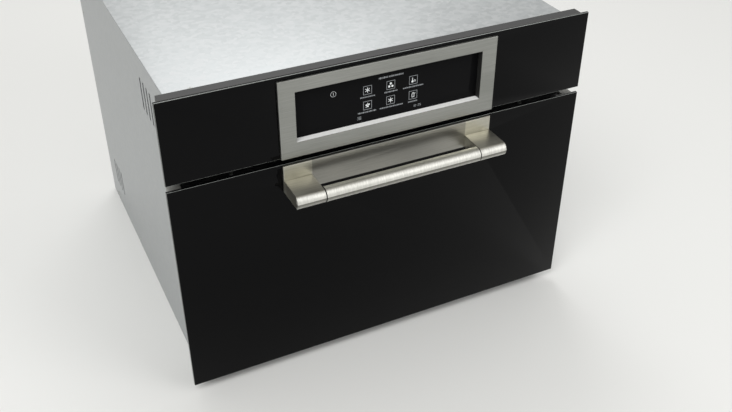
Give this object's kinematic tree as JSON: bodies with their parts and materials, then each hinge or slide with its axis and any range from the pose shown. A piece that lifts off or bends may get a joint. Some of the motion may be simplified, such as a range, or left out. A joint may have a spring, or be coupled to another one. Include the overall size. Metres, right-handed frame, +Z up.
{
  "type": "built-in combination microwave oven",
  "caption": "Compact built-in microwave oven with a drop-down black glass door, a short metal bar handle, a framed display, a turntable, a grill and hot air.",
  "frame": {"origin": "middle of the whole box, handle included, at the underside of the base tray", "axes": "+Y to the rear, away from the door; +Z up; +X to the right as seen from the front"},
  "size_m": [0.595, 0.616, 0.455],
  "materials": {
    "zinc_sheet": "galvanised sheet, satin",
    "black_trim": "matt black",
    "cavity_enamel": "dark grey enamel",
    "black_glass": "black enamelled safety glass, polished",
    "touch_glass": "black display glass, polished",
    "clear_glass": "clear heat-proof glass",
    "brushed_bezel": "fine horizontal brushing",
    "handle_metal": "bead-blasted satin",
    "door_steel": "black coated sheet",
    "cap_plastic": "pale grey moulding",
    "screw_steel": "zinc plated",
    "hinge_steel": "stamped steel",
    "spring_steel": "spring wire",
    "latch_plastic": "natural nylon",
    "switch_plastic": "moulded switch housing",
    "heater_steel": "dark oxidised heater tube",
    "fan_steel": "bare sheet",
    "motor_steel": "laminated stack and plated case",
    "magnetron_steel": "plated yoke with aluminium fins",
    "mica": "pressed mica sheet",
    "circuit_board": "green board with components",
    "lamp_ceramic": "ceramic holder",
    "mineral_wool": "pressed mineral fibre",
    "rack_steel": "chromed wire"
  },
  "bodies": {
    "chassis": {"base_tray": "zinc_sheet", "lower_trim": "black_trim", "outer_casing": "zinc_sheet", "rear_panel": "zinc_sheet", "fixing_strips": "zinc_sheet", "front_flange": "cavity_enamel", "cavity_liner": "cavity_enamel", "cavity_base": "cavity_enamel", "cavity_rear": "cavity_enamel", "fan_baffle": "cavity_enamel", "ring_heater": "heater_steel", "convection_motor": "motor_steel", "grill_element": "heater_steel", "waveguide": "fan_steel", "waveguide_cover": "mica", "magnetron": "magnetron_steel", "oven_lamp": "lamp_ceramic", "lamp_lens": "clear_glass", "cavity_insulation": "mineral_wool", "upper_deck": "zinc_sheet", "air_duct": "black_trim", "blower_housing": "zinc_sheet", "blower_motor": "motor_steel", "power_board": "circuit_board", "inverter_unit": "circuit_board", "terminal_block": "switch_plastic", "fascia_glass": "black_glass", "display_bezel": "brushed_bezel", "display_glass": "touch_glass", "fascia_carrier": "black_trim", "control_board": "circuit_board", "interlock_switches": "switch_plastic", "hinge_bodies": "zinc_sheet", "hinge_springs": "spring_steel", "turntable_motor": "motor_steel"},
    "door": {"door_outer_glass": "black_glass", "door_frame": "door_steel", "door_end_caps": "cap_plastic", "choke_frame": "door_steel", "door_inner_glass": "clear_glass", "choke_cover": "black_trim", "handle_plate": "brushed_bezel", "handle_arms": "handle_metal", "handle_bar": "handle_metal", "handle_screws": "screw_steel", "interlock_tongues": "latch_plastic", "hinge_arms": "hinge_steel"},
    "left_rod": {"left_pull_rod": "hinge_steel"},
    "right_rod": {"right_pull_rod": "hinge_steel"},
    "tray": {"turntable": "clear_glass", "drive_coupler": "latch_plastic", "grill_rack": "rack_steel"},
    "roller_spider": {"roller_ring": "latch_plastic"},
    "wheel_1": {"roller_1": "latch_plastic"},
    "wheel_2": {"roller_2": "latch_plastic"},
    "wheel_3": {"roller_3": "latch_plastic"},
    "hot_fan": {"convection_fan": "fan_steel"},
    "cooling_rotor": {"blower_rotor": "fan_steel"},
    "left_plunger": {"left_interlock_plunger": "latch_plastic"},
    "right_plunger": {"right_interlock_plunger": "latch_plastic"}
  },
  "joints": [
    {"name": "door_hinge", "type": "hinge", "parent": "chassis", "child": "door", "pos_m": [0, -0.242, 0.0185], "axis": [1, 0, 0], "range_deg": [0, 90], "stiffness_Nm_per_rad": 3, "springref_deg": -28.65},
    {"name": "left_rod_slide", "type": "slide", "parent": "chassis", "child": "left_rod", "axis": [0, -1, 0], "range_m": [0, 0.02264], "deforming": ["hinge_springs"]},
    {"name": "right_rod_slide", "type": "slide", "parent": "chassis", "child": "right_rod", "axis": [0, -1, 0], "range_m": [0, 0.02264], "deforming": ["hinge_springs"]},
    {"name": "turntable_spin", "type": "hinge", "parent": "chassis", "child": "tray", "pos_m": [0, -0.0309, 0.08], "axis": [0, 0, 1], "continuous": true},
    {"name": "roller_ring_spin", "type": "hinge", "parent": "chassis", "child": "roller_spider", "pos_m": [0, -0.0309, 0.0743], "axis": [0, 0, 1], "continuous": true},
    {"name": "roller_1_spin", "type": "hinge", "parent": "roller_spider", "child": "wheel_1", "pos_m": [0, 0.0791, 0.0743], "axis": [0, 1, 0], "continuous": true},
    {"name": "roller_2_spin", "type": "hinge", "parent": "roller_spider", "child": "wheel_2", "pos_m": [-0.09526, -0.0859, 0.0743], "axis": [-0.866, -0.5, 0], "continuous": true},
    {"name": "roller_3_spin", "type": "hinge", "parent": "roller_spider", "child": "wheel_3", "pos_m": [0.09526, -0.0859, 0.0743], "axis": [0.866, -0.5, 0], "continuous": true},
    {"name": "convection_fan_spin", "type": "hinge", "parent": "chassis", "child": "hot_fan", "pos_m": [0, 0.171, 0.184], "axis": [0, 1, 0], "continuous": true},
    {"name": "blower_spin", "type": "hinge", "parent": "chassis", "child": "cooling_rotor", "pos_m": [0.02, -0.1285, 0.38], "axis": [1, 0, 0], "continuous": true},
    {"name": "left_plunger_slide", "type": "slide", "parent": "chassis", "child": "left_plunger", "axis": [0, 1, 0], "range_m": [0, 0.0008], "stiffness_N_per_m": 200},
    {"name": "right_plunger_slide", "type": "slide", "parent": "chassis", "child": "right_plunger", "axis": [0, 1, 0], "range_m": [0, 0.0008], "stiffness_N_per_m": 200}
  ],
  "couplings": [
    {"joint": "left_rod_slide", "follows": "door_hinge", "m_per_rad": 0.014405},
    {"joint": "right_rod_slide", "follows": "door_hinge", "m_per_rad": 0.014405},
    {"joint": "roller_ring_spin", "follows": "turntable_spin", "ratio": 0.5},
    {"joint": "roller_1_spin", "follows": "turntable_spin", "ratio": -6.875},
    {"joint": "roller_2_spin", "follows": "turntable_spin", "ratio": -6.875},
    {"joint": "roller_3_spin", "follows": "turntable_spin", "ratio": -6.875}
  ]
}
